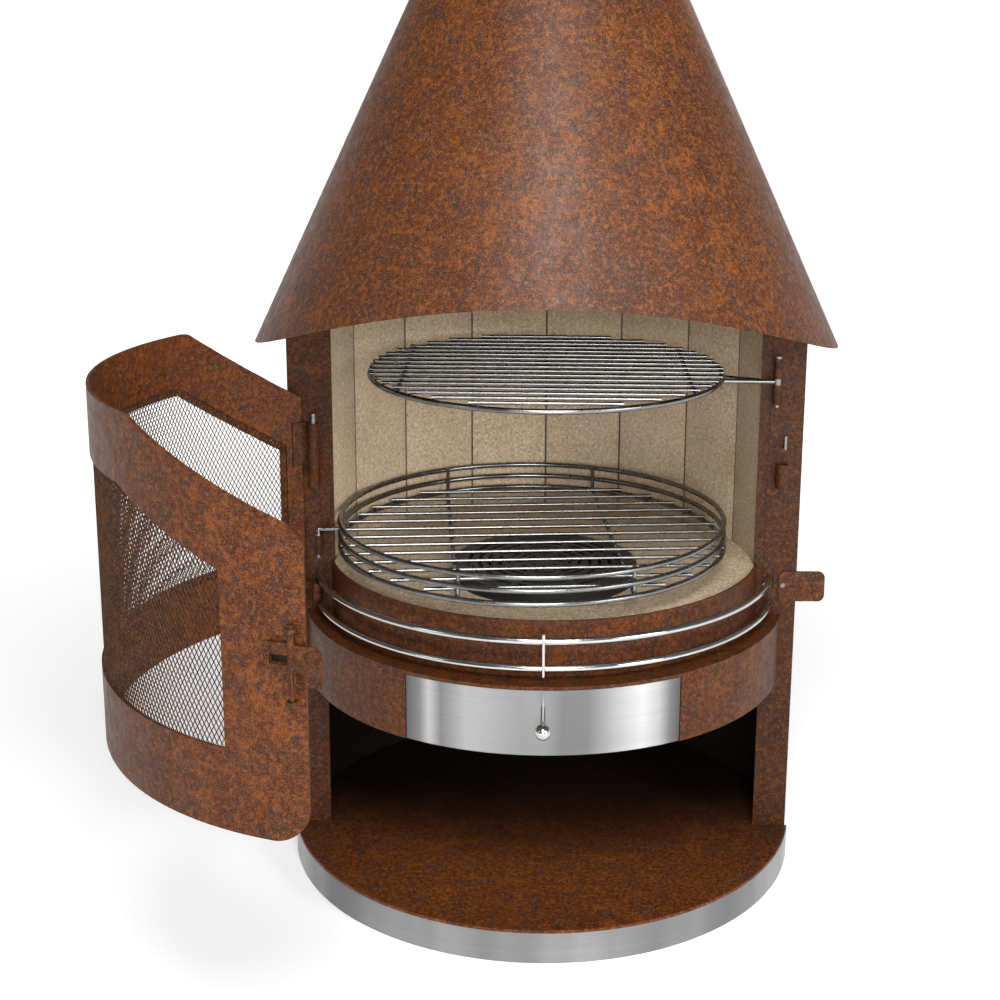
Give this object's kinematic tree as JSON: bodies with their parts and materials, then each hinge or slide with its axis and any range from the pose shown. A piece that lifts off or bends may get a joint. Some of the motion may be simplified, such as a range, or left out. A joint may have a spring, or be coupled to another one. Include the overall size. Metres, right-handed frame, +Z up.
{
  "type": "garden fireplace grill",
  "caption": "Round garden fireplace of weathering steel: cone hood and flue, brick-lined hearth, curved mesh door, swing-out grills, ash drawer and log store.",
  "frame": {"origin": "on the ground at the centre of the round front of the base", "axes": "+Z up, the open side faces -Y, +X to the right of someone facing the opening"},
  "size_m": [0.8763, 1.0489, 1.8013],
  "materials": {
    "rust": "weathering steel with an even brown rust skin",
    "rust_dark": "weathering steel, darker where heated",
    "brushed": "stainless steel brushed along its length",
    "wire": "bright stainless wire",
    "cast": "black cast iron",
    "firebrick": "sand coloured refractory slab",
    "hearthstone": "sand coloured cast refractory floor",
    "zinc": "plain steel tray"
  },
  "bodies": {
    "body": {"base_ring": "brushed", "base_plate": "rust", "plinth_beam": "rust_dark", "back_shell": "rust", "left_post": "rust", "right_post": "rust", "hearth_plate": "rust", "fire_ring": "rust", "hearth_slab": "hearthstone", "apron_left": "rust", "apron_right": "rust", "lining_bricks": "firebrick", "fire_grate": "cast", "rail_rod_upper": "brushed", "rail_rod_lower": "brushed", "rail_upright": "brushed", "tab_screws": "brushed", "drawer_runners": "rust_dark", "hinge_lugs": "rust", "hinge_pins": "brushed", "grill_socket_left": "rust", "grill_sockets_right": "rust", "latch_keeper": "rust", "tool_hook": "wire", "side_tab": "rust", "hood_cone": "rust", "hood_brackets": "rust_dark", "flue_collar": "rust", "flue_pipe": "rust", "rain_cap": "rust", "cap_stays": "rust"},
    "door": {"door_panel": "rust", "door_mesh": "rust_dark", "door_knuckles": "rust", "latch_bracket": "rust", "latch_guides": "rust"},
    "latch": {"latch_bar": "rust", "latch_hook": "rust"},
    "lower_grill": {"lower_grill_ring_low": "wire", "lower_grill_ring_mid": "wire", "lower_grill_ring_top": "wire", "lower_grill_bars": "wire", "lower_grill_supports": "wire", "lower_grill_uprights": "wire", "lower_grill_arm": "wire"},
    "upper_grill": {"upper_grill_ring": "wire", "upper_grill_bars": "wire", "upper_grill_supports": "wire", "upper_grill_arm": "wire"},
    "drawer": {"drawer_tray": "zinc", "drawer_front": "brushed", "drawer_rod": "brushed", "drawer_ball": "brushed"}
  },
  "joints": [
    {"name": "door_swing", "type": "hinge", "parent": "body", "child": "door", "pos_m": [-0.304, -0.092, 0.4], "axis": [0, 0, -1], "range_deg": [-82.2, 25]},
    {"name": "latch_lift", "type": "slide", "parent": "door", "child": "latch", "axis": [0, 0, 1], "range_m": [0, 0.01]},
    {"name": "lower_grill_swing", "type": "hinge", "parent": "body", "child": "lower_grill", "pos_m": [-0.302, -0.0775, 0.46], "axis": [0, 0, -1], "range_deg": [0, 65]},
    {"name": "upper_grill_swing", "type": "hinge", "parent": "body", "child": "upper_grill", "pos_m": [0.302, -0.0775, 0.68], "axis": [0, 0, 1], "range_deg": [0, 75]},
    {"name": "drawer_slide", "type": "slide", "parent": "body", "child": "drawer", "axis": [0, -1, 0], "range_m": [0, 0.24]}
  ]
}
